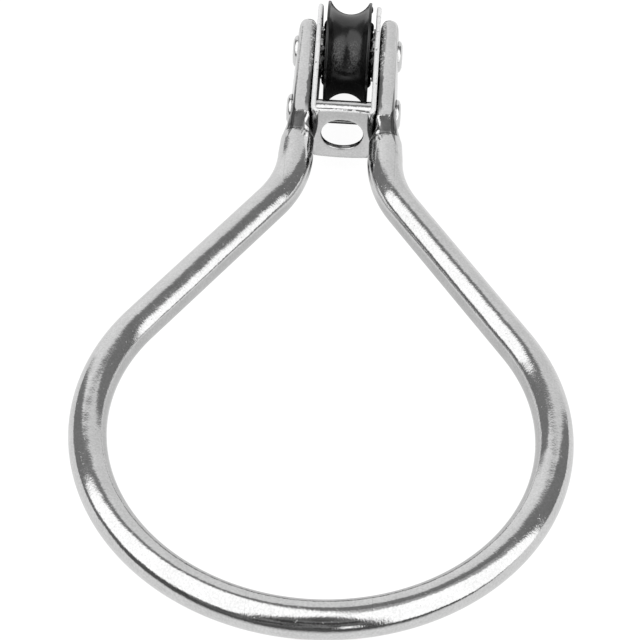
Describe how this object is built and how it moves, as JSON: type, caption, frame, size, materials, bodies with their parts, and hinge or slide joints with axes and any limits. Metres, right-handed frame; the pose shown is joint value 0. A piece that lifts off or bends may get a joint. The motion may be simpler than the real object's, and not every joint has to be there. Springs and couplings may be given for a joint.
{
  "type": "trapeze ring block",
  "caption": "Pear-shaped rod ring with flattened legs riveted to a small ball-bearing sheave block, for hanging from a harness hook and running a purchase line.",
  "frame": {"origin": "centre of the sheave, on the axle", "axes": "+X along the sheave axle, +Y along the ring's length from the round end towards the block's head, +Z square to the plane of the ring"},
  "size_m": [0.0832, 0.1436, 0.0195],
  "materials": {
    "ring_steel": "tumbled and polished stainless rod, fine draw marks and small dings",
    "strap_steel": "bright polished stainless strip with sheared edges",
    "race_steel": "turned and polished stainless",
    "rivet_steel": "polished stainless rivet with faint turning marks",
    "sheave_plastic": "black acetal, satin, rubbed by the line in the groove",
    "ball_plastic": "black acetal balls, smooth"
  },
  "bodies": {
    "frame": {"ring": "ring_steel", "block_strap": "strap_steel", "race_left": "race_steel", "race_right": "race_steel", "axle_sleeve": "race_steel", "axle_rivet": "rivet_steel", "lower_spacer": "rivet_steel", "lower_rivet": "rivet_steel"},
    "sheave": {"sheave": "sheave_plastic"},
    "left_balls": {"ball_left_01": "ball_plastic", "ball_left_02": "ball_plastic", "ball_left_03": "ball_plastic", "ball_left_04": "ball_plastic", "ball_left_05": "ball_plastic", "ball_left_06": "ball_plastic", "ball_left_07": "ball_plastic", "ball_left_08": "ball_plastic", "ball_left_09": "ball_plastic", "ball_left_10": "ball_plastic", "ball_left_11": "ball_plastic", "ball_left_12": "ball_plastic", "ball_left_13": "ball_plastic", "ball_left_14": "ball_plastic", "ball_left_15": "ball_plastic", "ball_left_16": "ball_plastic"},
    "right_balls": {"ball_right_01": "ball_plastic", "ball_right_02": "ball_plastic", "ball_right_03": "ball_plastic", "ball_right_04": "ball_plastic", "ball_right_05": "ball_plastic", "ball_right_06": "ball_plastic", "ball_right_07": "ball_plastic", "ball_right_08": "ball_plastic", "ball_right_09": "ball_plastic", "ball_right_10": "ball_plastic", "ball_right_11": "ball_plastic", "ball_right_12": "ball_plastic", "ball_right_13": "ball_plastic", "ball_right_14": "ball_plastic", "ball_right_15": "ball_plastic", "ball_right_16": "ball_plastic"}
  },
  "joints": [
    {"name": "sheave_spin", "type": "hinge", "parent": "frame", "child": "sheave", "pos_m": [0, 0, 0], "axis": [1, 0, 0], "continuous": true},
    {"name": "left_balls_orbit", "type": "hinge", "parent": "frame", "child": "left_balls", "pos_m": [0, 0, 0], "axis": [1, 0, 0], "continuous": true},
    {"name": "right_balls_orbit", "type": "hinge", "parent": "frame", "child": "right_balls", "pos_m": [0, 0, 0], "axis": [1, 0, 0], "continuous": true}
  ],
  "couplings": [
    {"joint": "left_balls_orbit", "follows": "sheave_spin", "ratio": 0.59524},
    {"joint": "right_balls_orbit", "follows": "sheave_spin", "ratio": 0.59524}
  ]
}
